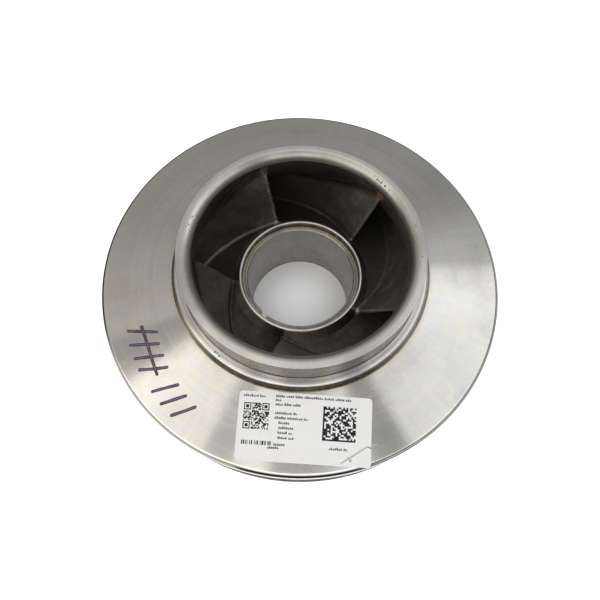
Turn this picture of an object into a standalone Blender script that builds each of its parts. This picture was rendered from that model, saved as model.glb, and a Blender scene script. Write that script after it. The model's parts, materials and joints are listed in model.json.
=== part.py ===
"""Closed pump impeller: shrouds, hub, eye ring, five swept vanes and a paper label.

Metres, +Z up along the shaft axis towards the eye. The hub's rear boss stands on Z = 0.
"""
import math

import bmesh
import bpy
from mathutils import Matrix, Vector

MM = 0.001
STEPS = 64                      # facets round every turned solid
WALL_STEPS = 10                 # facets along each waterway wall
GAP = 0.3 * MM                  # clearance between neighbouring solids

# Front shroud: a slightly conical turned face with an edge bevel
FACE_EDGE_R = 168.0 * MM
FACE_EDGE_Z = 76.0 * MM
OUTER_R = 170.6 * MM
EDGE_DROP = 2.6 * MM
RIM_LOWER_Z = 67.5 * MM
RING_FOOT_R = 108.3 * MM
RING_FOOT_Z = 86.0 * MM
FACE_SLOPE = (RING_FOOT_Z - FACE_EDGE_Z) / (FACE_EDGE_R - RING_FOOT_R)

# Eye ring: ledge and upstanding lip
LEDGE_R = 106.3 * MM
LEDGE_Z = 92.2 * MM
LIP_R = 99.2 * MM
LIP_TOP_Z = 118.1 * MM
LAND_INNER_R = 93.0 * MM
EYE_R = 88.4 * MM
EYE_CORNER_Z = 113.6 * MM
EYE_CORNER_MID = (89.7 * MM, 116.7 * MM)
ARRIS = 0.5 * MM

# Hub: a nose with a thin rim round a recessed face, and a through bore with a keyway
BORE_R = 46.8 * MM
NOSE_RIM_R = 51.9 * MM
NOSE_R = 53.6 * MM
NOSE_Z = 69.1 * MM
RECESS_R = 51.2 * MM
RECESS_Z = 64.0 * MM
BORE_CHAMFER = 0.8 * MM
KEYWAY_ANGLE = math.radians(-129.5)
KEYWAY_WIDTH = 6.5 * MM
KEYWAY_DEPTH = 3.2 * MM

# Rear boss and back shroud
BOSS_R = 66.0 * MM
BOSS_EDGE = 2.0 * MM
BACK_Z = 26.0 * MM
HUB_SPLIT_Z = 56.0 * MM         # the hub and the back shroud part where the waterway wall passes this height
BACK_RIM_Z = 34.0 * MM
BACK_OUTER_R = 170.2 * MM
BACK_EDGE = 1.0 * MM

# Vanes
VANE_COUNT = 5
VANE_THICKNESS = 6.0 * MM
VANE_WRAP = math.radians(119.0)  # whole turn of a vane, from a constant 28 degree blade angle at the hub
BLADE_ANGLE = math.radians(28.0)
FIRST_VANE_ANGLE = math.radians(113.2)
LEADING_HUB_Z = 60.4 * MM
LEADING_SHROUD_Z = 104.0 * MM
VANE_TIP_R = 169.2 * MM
VANE_STEPS = 18
VANE_ROWS = 4
VANE_GAP = 0.5 * MM

# Label: a 4 by 2 inch sheet stuck on the conical face
LABEL_WIDTH = 101.6 * MM
LABEL_HEIGHT = 50.8 * MM
LABEL_THICKNESS = 0.4 * MM
LABEL_CENTRE = (6.2 * MM, -135.0 * MM)
LABEL_TURN = math.radians(-1.9)
LABEL_COLUMNS = 16
LABEL_ROWS = 6

# Waterway walls from the eye to the outlet: Bezier points as (radius, height)
SHROUD_WALL = ((EYE_R, EYE_CORNER_Z), (83.0 * MM, 70.0 * MM), (112.0 * MM, 73.0 * MM), (OUTER_R, RIM_LOWER_Z))
HUB_WALL = ((NOSE_R, NOSE_Z), (62.0 * MM, 55.0 * MM), (80.0 * MM, 38.0 * MM), (BACK_OUTER_R, BACK_RIM_Z))


def bezier(wall, t):
    """Point on a cubic Bezier wall."""
    u = 1.0 - t
    return tuple(u ** 3 * a + 3 * u * u * t * b + 3 * u * t * t * c + t ** 3 * d
                 for a, b, c, d in zip(*wall))


def parameter_where(wall, passed):
    """Curve parameter from which a test on the wall's (radius, height) holds."""
    low, high = 0.0, 1.0
    for _ in range(40):
        middle = 0.5 * (low + high)
        if passed(*bezier(wall, middle)):
            high = middle
        else:
            low = middle
    return 0.5 * (low + high)


def below(wall, height):
    return parameter_where(wall, lambda r, z: z < height)


def beyond(wall, radius):
    return parameter_where(wall, lambda r, z: r > radius)


def wall_points(wall, first, last, count):
    """Points along a waterway wall between two curve parameters."""
    return [bezier(wall, first + (last - first) * i / count) for i in range(count + 1)]


def surface(name, colour, roughness, metallic=1.0):
    material = bpy.data.materials.new(name)
    material.use_nodes = True
    shader = material.node_tree.nodes["Principled BSDF"]
    shader.inputs["Base Color"].default_value = (*colour, 1.0)
    shader.inputs["Roughness"].default_value = roughness
    shader.inputs["Metallic"].default_value = metallic
    return material


def add_object(name, bm, material):
    """Turn a bmesh into a named object with outward normals."""
    bmesh.ops.recalc_face_normals(bm, faces=bm.faces)
    mesh = bpy.data.meshes.new(name)
    bm.to_mesh(mesh)
    bm.free()
    mesh.materials.append(material)
    obj = bpy.data.objects.new(name, mesh)
    bpy.context.scene.collection.objects.link(obj)
    return obj


def turned(name, profile, material):
    """Spin a closed (radius, height) outline round the shaft axis."""
    bm = bmesh.new()
    verts = [bm.verts.new((r, 0.0, z)) for r, z in profile]
    edges = [bm.edges.new(pair) for pair in zip(verts, verts[1:] + verts[:1])]
    bmesh.ops.spin(bm, geom=verts + edges, cent=(0, 0, 0), axis=(0, 0, 1),
                   angle=2 * math.pi, steps=STEPS, use_merge=True)
    bmesh.ops.remove_doubles(bm, verts=bm.verts, dist=0.00001)
    return add_object(name, bm, material)


def cut_keyway(target, material):
    """Cut the keyway through a bored solid, over its whole length."""
    reach = BORE_R + KEYWAY_DEPTH
    bm = bmesh.new()
    bmesh.ops.create_cube(bm, size=1.0, matrix=Matrix.Diagonal((reach, KEYWAY_WIDTH, 2 * NOSE_Z, 1)))
    bmesh.ops.translate(bm, vec=(reach / 2, 0, NOSE_Z / 2), verts=bm.verts)
    cutter = add_object("keyway_cutter", bm, material)
    cutter.rotation_euler.z = KEYWAY_ANGLE
    cutter.hide_render = True
    cutter.display_type = "WIRE"
    modifier = target.modifiers.new("keyway", "BOOLEAN")
    modifier.operation = "DIFFERENCE"
    modifier.solver = "EXACT"
    modifier.object = cutter


def front_shroud(material):
    inner = wall_points(SHROUD_WALL, below(SHROUD_WALL, RING_FOOT_Z - GAP), 1.0, WALL_STEPS)
    outer = [(OUTER_R, FACE_EDGE_Z - EDGE_DROP), (FACE_EDGE_R, FACE_EDGE_Z), (RING_FOOT_R, RING_FOOT_Z - GAP)]
    turned("front_shroud", inner + outer, material)


def eye_ring(material):
    inner = wall_points(SHROUD_WALL, below(SHROUD_WALL, RING_FOOT_Z), 0.0, WALL_STEPS // 2)
    lip = [EYE_CORNER_MID, (LAND_INNER_R, LIP_TOP_Z), (LIP_R - ARRIS, LIP_TOP_Z), (LIP_R, LIP_TOP_Z - ARRIS),
           (LIP_R, LEDGE_Z)]
    ledge = [(LEDGE_R - ARRIS, LEDGE_Z), (LEDGE_R, LEDGE_Z - ARRIS), (RING_FOOT_R - ARRIS, RING_FOOT_Z)]
    turned("eye_ring", inner + lip + ledge, material)


def hub(material):
    nose = wall_points(HUB_WALL, 0.0, below(HUB_WALL, HUB_SPLIT_Z), WALL_STEPS // 2)
    foot = [(nose[-1][0], BACK_Z + GAP), (BORE_R, BACK_Z + GAP)]
    face = [(BORE_R, RECESS_Z - BORE_CHAMFER), (BORE_R + BORE_CHAMFER, RECESS_Z), (RECESS_R, RECESS_Z),
            (NOSE_RIM_R, NOSE_Z)]
    cut_keyway(turned("hub", nose + foot + face, material), material)
    return nose[-1][0]


def rear_boss(material):
    profile = [(BORE_R, 0.0), (BOSS_R - BOSS_EDGE, 0.0), (BOSS_R, BOSS_EDGE), (BOSS_R, BACK_Z), (BORE_R, BACK_Z)]
    cut_keyway(turned("rear_boss", profile, material), material)


def back_shroud(hub_radius, material):
    wall = wall_points(HUB_WALL, beyond(HUB_WALL, hub_radius + GAP), 1.0, WALL_STEPS + 4)
    back = [(BACK_OUTER_R, BACK_Z + BACK_EDGE), (BACK_OUTER_R - BACK_EDGE, BACK_Z + GAP),
            (hub_radius + GAP, BACK_Z + GAP)]
    turned("back_shroud", wall + back, material)


def stream_line(wall, start_height, steps=240):
    """Wall points by share of a vane's turn, from its leading edge, for one blade angle all along."""
    first, last = below(wall, start_height), beyond(wall, VANE_TIP_R)
    points = wall_points(wall, first, last, steps)
    turn = [0.0]
    for a, b in zip(points, points[1:]):
        turn.append(turn[-1] + math.dist(a, b) / (a[0] + b[0]))
    return [(t / turn[-1], *point) for t, point in zip(turn, points)]


def at_share(line, share):
    """Radius and height on a stream line at a share of the turn."""
    for (s0, r0, z0), (s1, r1, z1) in zip(line, line[1:]):
        if share <= s1 + 1e-9:
            k = (share - s0) / (s1 - s0)
            return r0 + (r1 - r0) * k, z0 + (z1 - z0) * k


def vane_point(along, across, side):
    """Point of a vane: along the flow, across from hub to shroud, and on one side of its thickness."""
    hub_r, hub_z = at_share(HUB_LINE, along)
    shroud_r, shroud_z = at_share(SHROUD_LINE, along)
    inset = VANE_GAP / math.hypot(shroud_r - hub_r, shroud_z - hub_z)
    blend = inset + (1.0 - 2.0 * inset) * across
    radius = hub_r + (shroud_r - hub_r) * blend
    z = hub_z + (shroud_z - hub_z) * blend
    taper = min(1.0, 0.35 + 8.0 * along) * min(1.0, 0.5 + 4.0 * (1.0 - along))
    half_angle = 0.5 * VANE_THICKNESS * taper / (radius * math.sin(BLADE_ANGLE))
    angle = FIRST_VANE_ANGLE + VANE_WRAP * along + side * half_angle
    return Vector((radius * math.cos(angle), radius * math.sin(angle), z))


HUB_LINE = stream_line(HUB_WALL, LEADING_HUB_Z)
SHROUD_LINE = stream_line(SHROUD_WALL, LEADING_SHROUD_Z)


def two_sided_grid(columns, rows, place):
    """Closed slab made from a grid: place(u, v, side) gives each side's points, u and v from 0 to 1."""
    bm = bmesh.new()
    bmesh.ops.create_grid(bm, x_segments=columns, y_segments=rows, size=0.5)
    sheet = list(bm.verts)
    extruded = bmesh.ops.extrude_face_region(bm, geom=list(bm.faces), use_keep_orig=True)["geom"]
    other = [v for v in extruded if isinstance(v, bmesh.types.BMVert)]
    for verts, side in ((sheet, -1.0), (other, 1.0)):
        for v in verts:
            v.co = place(v.co.x + 0.5, v.co.y + 0.5, side)
    return bm


def vane(index, material):
    obj = add_object(f"vane_{index + 1}", two_sided_grid(VANE_STEPS, VANE_ROWS, vane_point), material)
    obj.rotation_euler.z = -2 * math.pi * index / VANE_COUNT


def label_point(u, v, side):
    """Point of the label on the conical face: u to the right, v up towards the eye."""
    right = Vector((math.cos(LABEL_TURN), math.sin(LABEL_TURN)))
    up = Vector((-right.y, right.x)) * math.cos(math.atan(FACE_SLOPE))
    plan = Vector(LABEL_CENTRE) + right * (u - 0.5) * LABEL_WIDTH + up * (v - 0.5) * LABEL_HEIGHT
    face_z = FACE_EDGE_Z + (FACE_EDGE_R - plan.length) * FACE_SLOPE
    return Vector((plan.x, plan.y, face_z + GAP + LABEL_THICKNESS * 0.5 * (side + 1.0)))


def main():
    for obj in list(bpy.data.objects):
        bpy.data.objects.remove(obj)
    turned_steel = surface("turned_steel", (0.56, 0.55, 0.53), 0.28)
    cast_steel = surface("cast_steel", (0.10, 0.095, 0.085), 0.55)
    paper = surface("paper", (0.85, 0.85, 0.86), 0.6, 0.0)
    front_shroud(turned_steel)
    eye_ring(turned_steel)
    back_shroud(hub(turned_steel), turned_steel)
    rear_boss(turned_steel)
    for index in range(VANE_COUNT):
        vane(index, cast_steel)
    add_object("label", two_sided_grid(LABEL_COLUMNS, LABEL_ROWS, label_point), paper)


main()
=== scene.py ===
"""Closed pump impeller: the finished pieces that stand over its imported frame.

Metres, +Z up along the shaft axis towards the eye, the camera on the -Y side.
"""
import json
import math
import random

import bmesh
import bpy
from bpy.props import FloatProperty, FloatVectorProperty, IntProperty, PointerProperty
from mathutils import Matrix, Vector, noise

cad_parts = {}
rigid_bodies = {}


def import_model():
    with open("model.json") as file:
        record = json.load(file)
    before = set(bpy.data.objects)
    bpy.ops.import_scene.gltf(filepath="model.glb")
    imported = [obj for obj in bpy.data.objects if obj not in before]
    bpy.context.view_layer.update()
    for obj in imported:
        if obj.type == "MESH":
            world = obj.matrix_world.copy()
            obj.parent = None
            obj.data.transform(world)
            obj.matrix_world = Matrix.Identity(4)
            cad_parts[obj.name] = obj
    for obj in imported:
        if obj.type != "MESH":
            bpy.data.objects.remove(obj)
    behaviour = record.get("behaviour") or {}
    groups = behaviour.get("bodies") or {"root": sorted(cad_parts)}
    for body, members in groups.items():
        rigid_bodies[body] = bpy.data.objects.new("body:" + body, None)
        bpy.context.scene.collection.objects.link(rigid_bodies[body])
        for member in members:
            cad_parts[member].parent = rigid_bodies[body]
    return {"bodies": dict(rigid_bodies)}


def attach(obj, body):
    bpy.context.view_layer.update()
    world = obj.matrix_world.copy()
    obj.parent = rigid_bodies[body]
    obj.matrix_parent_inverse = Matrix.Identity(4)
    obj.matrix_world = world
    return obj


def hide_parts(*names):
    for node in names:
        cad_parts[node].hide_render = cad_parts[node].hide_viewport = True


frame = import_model()

bl_info = {
    "name": "Closed pump impeller",
    "version": (1, 0, 0),
    "blender": (4, 5, 0),
    "location": "3D View > Sidebar > Impeller",
    "description": "Finishes a packed pump impeller: turned and cast steel, paper label, marker strokes, studio",
    "category": "Object",
}

MM = 0.001
BODY = next(iter(frame["bodies"]))

# The CAD's own sizes, which the finished pieces keep
FACE_EDGE_R, FACE_EDGE_Z = 168.0 * MM, 76.0 * MM
OUTER_R, EDGE_DROP, RIM_LOWER_Z = 170.6 * MM, 2.6 * MM, 67.5 * MM
RING_FOOT_R, RING_FOOT_Z = 108.3 * MM, 86.0 * MM
FACE_SLOPE = (RING_FOOT_Z - FACE_EDGE_Z) / (FACE_EDGE_R - RING_FOOT_R)
LEDGE_R, LEDGE_Z = 106.3 * MM, 92.2 * MM
LIP_R, LIP_TOP_Z, LAND_INNER_R = 99.2 * MM, 118.1 * MM, 93.0 * MM
EYE_R, EYE_CORNER_Z = 88.4 * MM, 113.6 * MM
BORE_R, BORE_CHAMFER = 46.8 * MM, 0.8 * MM
NOSE_RIM_R, NOSE_R, NOSE_Z = 51.9 * MM, 53.6 * MM, 69.1 * MM
RECESS_R, RECESS_Z = 51.2 * MM, 64.0 * MM
KEYWAY_ANGLE, KEYWAY_WIDTH, KEYWAY_DEPTH = math.radians(-129.5), 6.5 * MM, 3.2 * MM
BOSS_R, BOSS_EDGE = 66.0 * MM, 2.0 * MM
BACK_Z, BACK_RIM_Z = 26.0 * MM, 34.0 * MM
BACK_OUTER_R, BACK_EDGE = 170.2 * MM, 1.0 * MM
HUB_SPLIT_Z = 56.0 * MM
RIM_CALM = 6.0 * MM             # width at the rim over which the cast walls' unevenness fades out
VANE_COUNT, VANE_THICKNESS = 5, 6.0 * MM
VANE_WRAP, BLADE_ANGLE = math.radians(119.0), math.radians(28.0)
FIRST_VANE_ANGLE = math.radians(113.2)
LEADING_HUB_Z, LEADING_SHROUD_Z, VANE_TIP_R = 60.4 * MM, 104.0 * MM, 169.2 * MM
LABEL_WIDTH, LABEL_HEIGHT = 101.6 * MM, 50.8 * MM
LABEL_CENTRE, LABEL_TURN = Vector((6.2 * MM, -135.0 * MM)), math.radians(-1.9)

# Waterway walls from the eye to the outlet: Bezier points as (radius, height)
SHROUD_WALL = ((EYE_R, EYE_CORNER_Z), (83.0 * MM, 70.0 * MM), (112.0 * MM, 73.0 * MM), (OUTER_R, RIM_LOWER_Z))
HUB_WALL = ((NOSE_R, NOSE_Z), (62.0 * MM, 55.0 * MM), (80.0 * MM, 38.0 * MM), (BACK_OUTER_R, BACK_RIM_Z))


class ImpellerSizes(bpy.types.PropertyGroup):
    """Finishing sizes that the CAD leaves open."""
    steps: IntProperty(name="Turning steps", description="Facets round each turned piece", default=288, min=96)
    face_rounding: FloatProperty(name="Face rounding", description="Rounding at the rim of the turned face",
                                 default=1.2 * MM, unit="LENGTH")
    edge_rounding: FloatProperty(name="Edge rounding", description="Rounding at the outer edge of the bevel",
                                 default=1.9 * MM, unit="LENGTH")
    arris: FloatProperty(name="Arris", description="Small rounding on the turned corners",
                         default=0.5 * MM, unit="LENGTH")
    foot_fillet: FloatProperty(name="Foot fillet", description="Tool radius where a wall meets a turned face",
                               default=1.2 * MM, unit="LENGTH")
    eye_rounding: FloatProperty(name="Eye rounding", description="Rounding at the inner corner of the eye",
                                default=6.8 * MM, unit="LENGTH")
    ledge_rounding: FloatProperty(name="Ledge rounding", description="Rounding at the outer edge of the ledge",
                                  default=2.6 * MM, unit="LENGTH")
    vane_fillet: FloatProperty(name="Vane fillet", description="Casting radius at the vane roots",
                               default=3.6 * MM, unit="LENGTH")
    waviness: FloatProperty(name="Waviness", description="Height of the cast walls' unevenness",
                            default=0.35 * MM, unit="LENGTH")
    label_thickness: FloatProperty(name="Label thickness", description="Thickness of the label's paper",
                                   default=0.15 * MM, unit="LENGTH")
    label_corner: FloatProperty(name="Label corner", description="Corner radius of the label",
                                default=2.6 * MM, unit="LENGTH")
    crease_height: FloatProperty(name="Crease height", description="Height of the label's crease",
                                 default=0.9 * MM, unit="LENGTH")
    marker_width: FloatProperty(name="Marker width", description="Width of the marker's strokes",
                                default=2.5 * MM, unit="LENGTH")


class ImpellerColours(bpy.types.PropertyGroup):
    """Base colours of the finishes."""
    turned: FloatVectorProperty(name="Turned steel", description="Bright turned stainless steel",
                                subtype="COLOR", default=(0.60, 0.588, 0.565))
    turned_stain: FloatVectorProperty(name="Stained steel", description="Faint brown film on the turned steel",
                                      subtype="COLOR", default=(0.50, 0.475, 0.435))
    cast: FloatVectorProperty(name="Cast steel", description="Dark as-cast skin of the waterways",
                              subtype="COLOR", default=(0.105, 0.099, 0.087))
    cast_brown: FloatVectorProperty(name="Cast steel, brown", description="Brown streaks on the cast skin",
                                    subtype="COLOR", default=(0.17, 0.145, 0.11))
    paper: FloatVectorProperty(name="Paper", description="Label paper", subtype="COLOR",
                               default=(0.83, 0.833, 0.846))
    print_ink: FloatVectorProperty(name="Print", description="Print on the label", subtype="COLOR",
                                   default=(0.012, 0.012, 0.014))
    marker: FloatVectorProperty(name="Marker ink", description="Dark violet marker ink", subtype="COLOR",
                                default=(0.030, 0.016, 0.042))
    floor: FloatVectorProperty(name="Floor", description="Pale studio floor", subtype="COLOR",
                               default=(0.90, 0.90, 0.90))


class ImpellerStudio(bpy.types.PropertyGroup):
    """Camera and soft light."""
    lens: FloatProperty(name="Focal length", description="Camera focal length on a 36 mm sensor, in millimetres",
                        default=30.386)
    camera: FloatVectorProperty(name="Camera", description="Camera position", subtype="TRANSLATION", unit="LENGTH",
                                default=(0.0, -0.19416, 0.46904))
    tent: FloatProperty(name="Tent", description="Brightness of the light tent's panels", default=1.0)
    low: FloatProperty(name="Low band", description="Radiance of the dark room near the horizon", default=0.04)
    low_left: FloatProperty(name="Low band, left", description="Radiance near the horizon on the left", default=0.80)
    low_right: FloatProperty(name="Low band, right", description="Radiance near the horizon on the right", default=0.95)
    floor_radius: FloatProperty(name="Floor radius", description="Radius of the round table", default=0.27,
                                unit="LENGTH")
    glow_edge: FloatProperty(name="Glow", description="Light that the table gives by itself round the object",
                             default=0.55)
    # Painted light: a pool of extra glow on the table under the bore, strongest at its axis
    bore_light_pool: FloatProperty(name="Glow, centre", description="The same, more, at the bore's axis", default=0.14)


# Curves of the waterway

def bezier(wall, t):
    """Point on a cubic Bezier wall."""
    u = 1.0 - t
    return tuple(u ** 3 * a + 3 * u * u * t * b + 3 * u * t * t * c + t ** 3 * d
                 for a, b, c, d in zip(*wall))


def parameter_where(wall, passed):
    """Curve parameter from which a test on the wall's (radius, height) holds."""
    low, high = 0.0, 1.0
    for _ in range(40):
        middle = 0.5 * (low + high)
        if passed(*bezier(wall, middle)):
            high = middle
        else:
            low = middle
    return 0.5 * (low + high)


def below(wall, height):
    return parameter_where(wall, lambda r, z: z < height)


def beyond(wall, radius):
    return parameter_where(wall, lambda r, z: r > radius)


def wall_points(wall, first, last, count):
    """Points along a waterway wall between two curve parameters."""
    return [bezier(wall, first + (last - first) * i / count) for i in range(count + 1)]


def stream_line(wall, start_height, steps=240):
    """Wall points by share of a vane's turn, from its leading edge, for one blade angle all along."""
    points = wall_points(wall, below(wall, start_height), beyond(wall, VANE_TIP_R), steps)
    turn = [0.0]
    for a, b in zip(points, points[1:]):
        turn.append(turn[-1] + math.dist(a, b) / (a[0] + b[0]))
    return [(t / turn[-1], *point) for t, point in zip(turn, points)]


def at_share(line, share):
    """Radius and height on a stream line at a share of the turn, straight on past its ends."""
    index = min(max(int(share * (len(line) - 1)), 0), len(line) - 2)
    while index > 0 and share < line[index][0]:
        index -= 1
    while index < len(line) - 2 and share > line[index + 1][0]:
        index += 1
    (s0, r0, z0), (s1, r1, z1) = line[index], line[index + 1]
    k = (share - s0) / (s1 - s0)
    return Vector((r0 + (r1 - r0) * k, z0 + (z1 - z0) * k))


HUB_LINE = stream_line(HUB_WALL, LEADING_HUB_Z)
SHROUD_LINE = stream_line(SHROUD_WALL, LEADING_SHROUD_Z)


# Mesh building

def uneven(place, amount):
    """The casting's unevenness at a point, the same for every piece that shares the point."""
    return (noise.noise_vector(place * 75.0) + 0.35 * noise.noise_vector(place * 260.0)) * amount


def add_piece(name, bm, materials, nodes, smooth=True):
    """Make a bmesh a named piece that rides on the impeller's body and stands for its CAD nodes."""
    for face in bm.faces:
        face.smooth = smooth
    mesh = bpy.data.meshes.new(name)
    bm.to_mesh(mesh)
    bm.free()
    for material in materials:
        mesh.materials.append(material)
    piece = bpy.data.objects.new(name, mesh)
    bpy.context.scene.collection.objects.link(piece)
    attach(piece, BODY)
    if nodes:
        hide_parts(*nodes)
    return piece


def even_shading(piece):
    """Keep broad turned faces flat-shaded up to their rounded corners."""
    modifier = piece.modifiers.new("even_shading", "WEIGHTED_NORMAL")
    modifier.keep_sharp = True
    modifier.weight = 60


def turned_solid(corners, cast_wall, sizes, zone=lambda radius, z, cast: int(cast)):
    """Spin a closed outline: corners as (radius, height, rounding), then the points of a cast wall.

    zone gives a face's finish from its radius, its height and whether it is on the cast wall.
    """
    bm = bmesh.new()
    cast = bm.verts.layers.float.new("cast")
    verts = [bm.verts.new((r, 0.0, z)) for r, z, _ in corners]
    for r, z in cast_wall:
        verts.append(bm.verts.new((r, 0.0, z)))
        verts[-1][cast] = 1.0
    for pair in zip(verts, verts[1:] + verts[:1]):
        bm.edges.new(pair)
    for vert, (_, _, rounding) in zip(verts, corners):
        if rounding:
            bmesh.ops.bevel(bm, geom=[vert], offset=rounding, offset_type="OFFSET", affect="VERTICES",
                            segments=5 + int(rounding / MM), profile=0.5, material=-1)
    for edge in [e for e in bm.edges if min(v[cast] for v in e.verts) < 0.5]:
        cuts = int(edge.calc_length() / (2.5 * MM))
        if cuts:
            bmesh.ops.subdivide_edges(bm, edges=[edge], cuts=cuts)
    bmesh.ops.spin(bm, geom=bm.verts[:] + bm.edges[:], cent=(0, 0, 0), axis=(0, 0, 1),
                   angle=2 * math.pi, steps=sizes.steps, use_merge=True)
    bmesh.ops.remove_doubles(bm, verts=bm.verts, dist=0.000005)
    bmesh.ops.recalc_face_normals(bm, faces=bm.faces)
    for face in bm.faces:
        middle = face.calc_center_median()
        face.material_index = zone(middle.xy.length, middle.z, all(v[cast] > 0.99 for v in face.verts))
    for edge in bm.edges:
        edge.smooth = edge.calc_face_angle(0.0) < math.radians(28.0)
    for vert in bm.verts:
        if vert[cast] > 0.99:
            inside_rim = min(1.0, (OUTER_R - vert.co.xy.length) / RIM_CALM)
            vert.co += uneven(vert.co, sizes.waviness * max(0.0, inside_rim))
    return bm


def two_sided_grid(columns, rows, place):
    """Closed slab made from a grid: place(column, row, side) gives each side's points.

    Its vertices keep their shares of the way along the columns and across the rows.
    """
    bm = bmesh.new()
    along, across = [bm.verts.layers.float.new(name) for name in ("along", "across")]
    bmesh.ops.create_grid(bm, x_segments=columns, y_segments=rows, size=0.5)
    sheet = list(bm.verts)
    extruded = bmesh.ops.extrude_face_region(bm, geom=list(bm.faces), use_keep_orig=True)["geom"]
    other = [v for v in extruded if isinstance(v, bmesh.types.BMVert)]
    for verts, side in ((sheet, -1.0), (other, 1.0)):
        for v in verts:
            v[along], v[across] = v.co.x + 0.5, v.co.y + 0.5
            v.co = place(round(v[along] * columns), round(v[across] * rows), side)
    bmesh.ops.recalc_face_normals(bm, faces=bm.faces)
    for edge in bm.edges:
        edge.smooth = edge.calc_face_angle(0.0) < math.radians(40.0)
    return bm


def cut_away(piece, cutters, material=None):
    """Cut a bmesh of closed shells out of a piece for good; material, one of the piece's, goes on the cut faces."""
    for face in cutters.faces:
        face.smooth = False
    mesh = bpy.data.meshes.new("cutter")
    cutters.to_mesh(mesh)
    cutters.free()
    if material:
        mesh.materials.append(material)
    cutter = bpy.data.objects.new("cutter", mesh)
    bpy.context.scene.collection.objects.link(cutter)
    modifier = piece.modifiers.new("cut", "BOOLEAN")
    modifier.operation, modifier.solver, modifier.object = "DIFFERENCE", "EXACT", cutter
    if material:
        modifier.material_mode = "TRANSFER"
    bpy.context.view_layer.update()
    result = bpy.data.meshes.new_from_object(piece.evaluated_get(bpy.context.evaluated_depsgraph_get()))
    piece.modifiers.remove(modifier)
    result.name = piece.name
    piece.data = result
    bpy.data.objects.remove(cutter)
    bpy.data.meshes.remove(mesh)


def keyway_cutter():
    """A bar of the keyway's width, from the axis to its bottom, over the whole bore."""
    bm = bmesh.new()
    reach = BORE_R + KEYWAY_DEPTH
    bmesh.ops.create_cube(bm, size=1.0, matrix=Matrix.Diagonal((reach, KEYWAY_WIDTH, 3 * NOSE_Z, 1)))
    bmesh.ops.translate(bm, vec=(reach / 2, 0, NOSE_Z / 2), verts=bm.verts)
    bmesh.ops.rotate(bm, cent=(0, 0, 0), matrix=Matrix.Rotation(KEYWAY_ANGLE, 3, "Z"), verts=bm.verts)
    return bm


# The label's crease and the scuffs beside it, in millimetres from its lower left corner
CREASE = ((79.1, 1.7), (98.1, 14.7), (101.6, 14.6))
SCUFFS = (((84.4, 6.4), (86.8, 3.2)), ((85.6, 3.6), (87.2, 5.4)), ((98.6, 15.2), (101.4, 13.9)))


def label_plan(x, y):
    """Plan point from millimetres right and up of the label's lower left corner."""
    right = Vector((math.cos(LABEL_TURN), math.sin(LABEL_TURN)))
    up = Vector((-right.y, right.x)) * math.cos(math.atan(FACE_SLOPE))
    return LABEL_CENTRE + right * (x * MM - LABEL_WIDTH / 2) + up * (y * MM - LABEL_HEIGHT / 2)


# Materials

def add_node(tree, kind, inputs=(), **settings):
    """Add a shader node, with its settings and with its inputs linked or set."""
    node = tree.nodes.new(kind)
    for key, value in settings.items():
        setattr(node, key, value)
    for key, value in dict(inputs).items():
        if isinstance(value, bpy.types.NodeSocket):
            tree.links.new(value, node.inputs[key])
        else:
            node.inputs[key].default_value = value
    return node


def maths(tree, operation, a, b=0.0, clamp=False):
    return add_node(tree, "ShaderNodeMath", {0: a, 1: b}, operation=operation, use_clamp=clamp).outputs[0]


def texture(tree, vector, scale, detail=3.0, roughness=0.5):
    """Height of a noise texture."""
    return add_node(tree, "ShaderNodeTexNoise", {"Vector": vector, "Scale": scale, "Detail": detail,
                                                 "Roughness": roughness}).outputs["Fac"]


def remap(tree, value, low, high, to_low=0.0, to_high=1.0, kind="SMOOTHSTEP"):
    return add_node(tree, "ShaderNodeMapRange", {"Value": value, "From Min": low, "From Max": high,
                                                 "To Min": to_low, "To Max": to_high},
                    interpolation_type=kind).outputs["Result"]


def blend_colours(tree, amount, a, b):
    return add_node(tree, "ShaderNodeMix", {0: amount, 6: a, 7: b}, data_type="RGBA").outputs[2]


def rgba(colour, gain=1.0):
    return tuple(c * gain for c in colour) + (1.0,)


def new_material(name, roughness, metallic):
    """A material with its shader, its tree and its object coordinates."""
    material = bpy.data.materials.new(name)
    material.use_nodes = True
    tree = material.node_tree
    shader = tree.nodes["Principled BSDF"]
    shader.inputs["Roughness"].default_value = roughness
    shader.inputs["Metallic"].default_value = metallic
    place = tree.nodes.new("ShaderNodeTexCoord").outputs["Object"]
    return material, tree, shader, place


def turning_coordinates(tree, place):
    """Radius, height and angle of a point about the shaft axis."""
    split = add_node(tree, "ShaderNodeSeparateXYZ", {0: place})
    x, y, z = split.outputs
    flat = add_node(tree, "ShaderNodeCombineXYZ", {"X": x, "Y": y})
    radius = add_node(tree, "ShaderNodeVectorMath", {0: flat.outputs[0]}, operation="LENGTH").outputs["Value"]
    angle = maths(tree, "ARCTAN2", y, x)
    around = add_node(tree, "ShaderNodeCombineXYZ", {"X": maths(tree, "MULTIPLY", y, -1.0), "Y": x})
    return radius, z, angle, around.outputs[0]


def attribute(tree, name):
    """A value that the vertices carry, 0 on pieces without it."""
    return add_node(tree, "ShaderNodeAttribute", attribute_name=name).outputs["Fac"]


def scratches(tree, place, turn, length, width, amount):
    """Sparse straight scratches that all lie one way: 1 on a scratch, 0 elsewhere."""
    mapped = add_node(tree, "ShaderNodeMapping", {"Vector": place, "Rotation": (0.0, 0.0, turn),
                                                  "Scale": (1.0 / length, 1.0 / width, 1.0 / width)})
    return remap(tree, texture(tree, mapped.outputs[0], 1.0, 1.0), 1.0 - amount, 1.02 - amount)


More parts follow.
